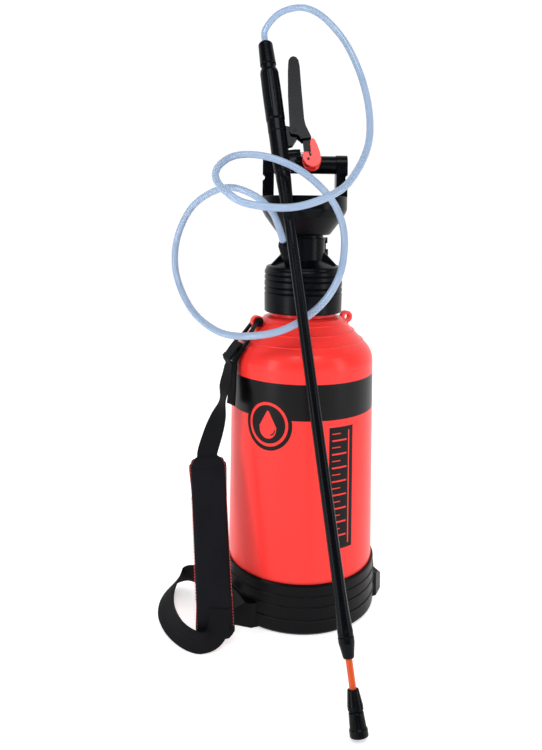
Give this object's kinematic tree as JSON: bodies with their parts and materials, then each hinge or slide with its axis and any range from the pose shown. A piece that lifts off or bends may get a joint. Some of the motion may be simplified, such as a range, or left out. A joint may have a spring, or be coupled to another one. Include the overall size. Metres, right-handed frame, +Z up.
{
  "type": "compression sprayer",
  "caption": "Pump-up garden sprayer: pressure tank on a foot boot, piston pump with funnel grip, hose, telescopic spray wand with trigger, and padded shoulder strap.",
  "frame": {"origin": "on the floor under the tank's axis, on the boot's underside", "axes": "+Z up along the tank and pump axis, -Y towards the front where the wand leans, +X to the right seen from the front"},
  "size_m": [0.2952, 0.3674, 0.7935],
  "materials": {
    "tank_plastic": "semi-gloss blow-moulded polyethylene",
    "boot_plastic": "matte moulded polypropylene",
    "black_plastic": "satin moulded polypropylene",
    "clip_plastic": "semi-gloss moulded",
    "orange_plastic": "semi-gloss extruded tube",
    "pale_plastic": "natural moulded plastic",
    "seal_rubber": "matte",
    "steel": "drawn wire and rod",
    "hose_vinyl": "translucent braided vinyl",
    "webbing": "woven polypropylene",
    "pad_fabric": "woven cover over foam"
  },
  "bodies": {
    "tank": {"tank_shell": "tank_plastic", "boot": "boot_plastic", "pump_collar": "black_plastic", "collar_seal": "seal_rubber", "pump_cylinder": "pale_plastic", "rod_guide": "black_plastic", "check_valve": "seal_rubber", "relief_body": "black_plastic", "relief_spring": "steel", "hose_nipple": "black_plastic", "hose_nut": "black_plastic", "dip_tube": "pale_plastic", "strainer": "black_plastic", "hose": "hose_vinyl", "strap_upper": "webbing", "strap_tail": "webbing", "shoulder_pad": "pad_fabric", "strap_lower": "webbing"},
    "pump": {"pump_rod": "steel", "piston": "black_plastic", "piston_ring": "seal_rubber"},
    "pump_handle": {"handle_bowl": "black_plastic", "handle_arms": "black_plastic", "grip_sleeve": "black_plastic"},
    "relief_pin": {"relief_stem": "black_plastic"},
    "hook": {"strap_hook": "black_plastic", "hook_pin": "black_plastic"},
    "wand": {"hose_cap": "black_plastic", "wand_grip": "black_plastic", "grip_filter": "pale_plastic", "valve_body": "black_plastic", "valve_gland": "black_plastic", "valve_spring": "steel", "lever_pin": "steel", "lance_tube": "black_plastic", "lance_seal": "seal_rubber"},
    "trigger": {"trigger_lever": "black_plastic", "clip_pin": "steel"},
    "clip": {"lock_clip": "clip_plastic"},
    "stem": {"valve_stem": "steel"},
    "clamp_nut": {"lance_nut": "black_plastic"},
    "extension": {"inner_tube": "orange_plastic", "nozzle_holder": "black_plastic"},
    "nozzle": {"nozzle_ring": "black_plastic", "nozzle_insert": "black_plastic"}
  },
  "joints": [
    {"name": "pump_stroke", "type": "slide", "parent": "tank", "child": "pump", "axis": [0, 0, 1], "range_m": [0, 0.15]},
    {"name": "handle_twist", "type": "hinge", "parent": "pump", "child": "pump_handle", "pos_m": [0, 0, 0.49], "axis": [0, 0, 1], "range_deg": [-35, 20]},
    {"name": "relief_pull", "type": "slide", "parent": "tank", "child": "relief_pin", "axis": [0, 0, 1], "range_m": [0, 0.0025], "stiffness_N_per_m": 400, "springref_m": -0.002, "deforming": ["relief_spring"]},
    {"name": "hook_swing", "type": "hinge", "parent": "tank", "child": "hook", "pos_m": [-0.06072, -0.02831, 0.369], "axis": [-0.4226, 0.9063, 0], "range_deg": [0, 12], "deforming": ["strap_upper", "strap_tail"]},
    {"name": "wand_lean", "type": "hinge", "parent": "tank", "child": "wand", "pos_m": [0.0453, -0.252, 0], "axis": [1, 0, 0], "range_deg": [0, 7.4], "deforming": ["hose"]},
    {"name": "trigger_squeeze", "type": "hinge", "parent": "wand", "child": "trigger", "pos_m": [-0.01538, -0.03051, 0.61401], "axis": [0, -0.9361, 0.3518], "range_deg": [0, 7.5], "stiffness_Nm_per_rad": 2, "springref_deg": -2.86},
    {"name": "clip_turn", "type": "hinge", "parent": "trigger", "child": "clip", "pos_m": [0.00199, -0.0446, 0.57649], "axis": [0, 0.9361, -0.3518], "range_deg": [0, 30]},
    {"name": "stem_slide", "type": "slide", "parent": "wand", "child": "stem", "axis": [0.9914, 0.0459, 0.1222], "range_m": [0, 0.0042], "deforming": ["valve_spring"]},
    {"name": "nut_twist", "type": "hinge", "parent": "wand", "child": "clamp_nut", "pos_m": [0.0483, -0.26, 0.00345], "axis": [-0.1305, 0.3488, 0.9281], "range_deg": [0, 180]},
    {"name": "lance_extend", "type": "slide", "parent": "wand", "child": "extension", "axis": [-0.1305, 0.3488, 0.9281], "range_m": [-0.3, 0.024]},
    {"name": "nozzle_twist", "type": "hinge", "parent": "extension", "child": "nozzle", "pos_m": [0.0483, -0.26, 0.00345], "axis": [-0.1305, 0.3488, 0.9281], "range_deg": [0, 270]}
  ],
  "couplings": [
    {"joint": "wand_lean", "follows": "pump_stroke", "rad_per_m": 0.85},
    {"joint": "stem_slide", "follows": "trigger_squeeze", "m_per_rad": 0.031}
  ]
}
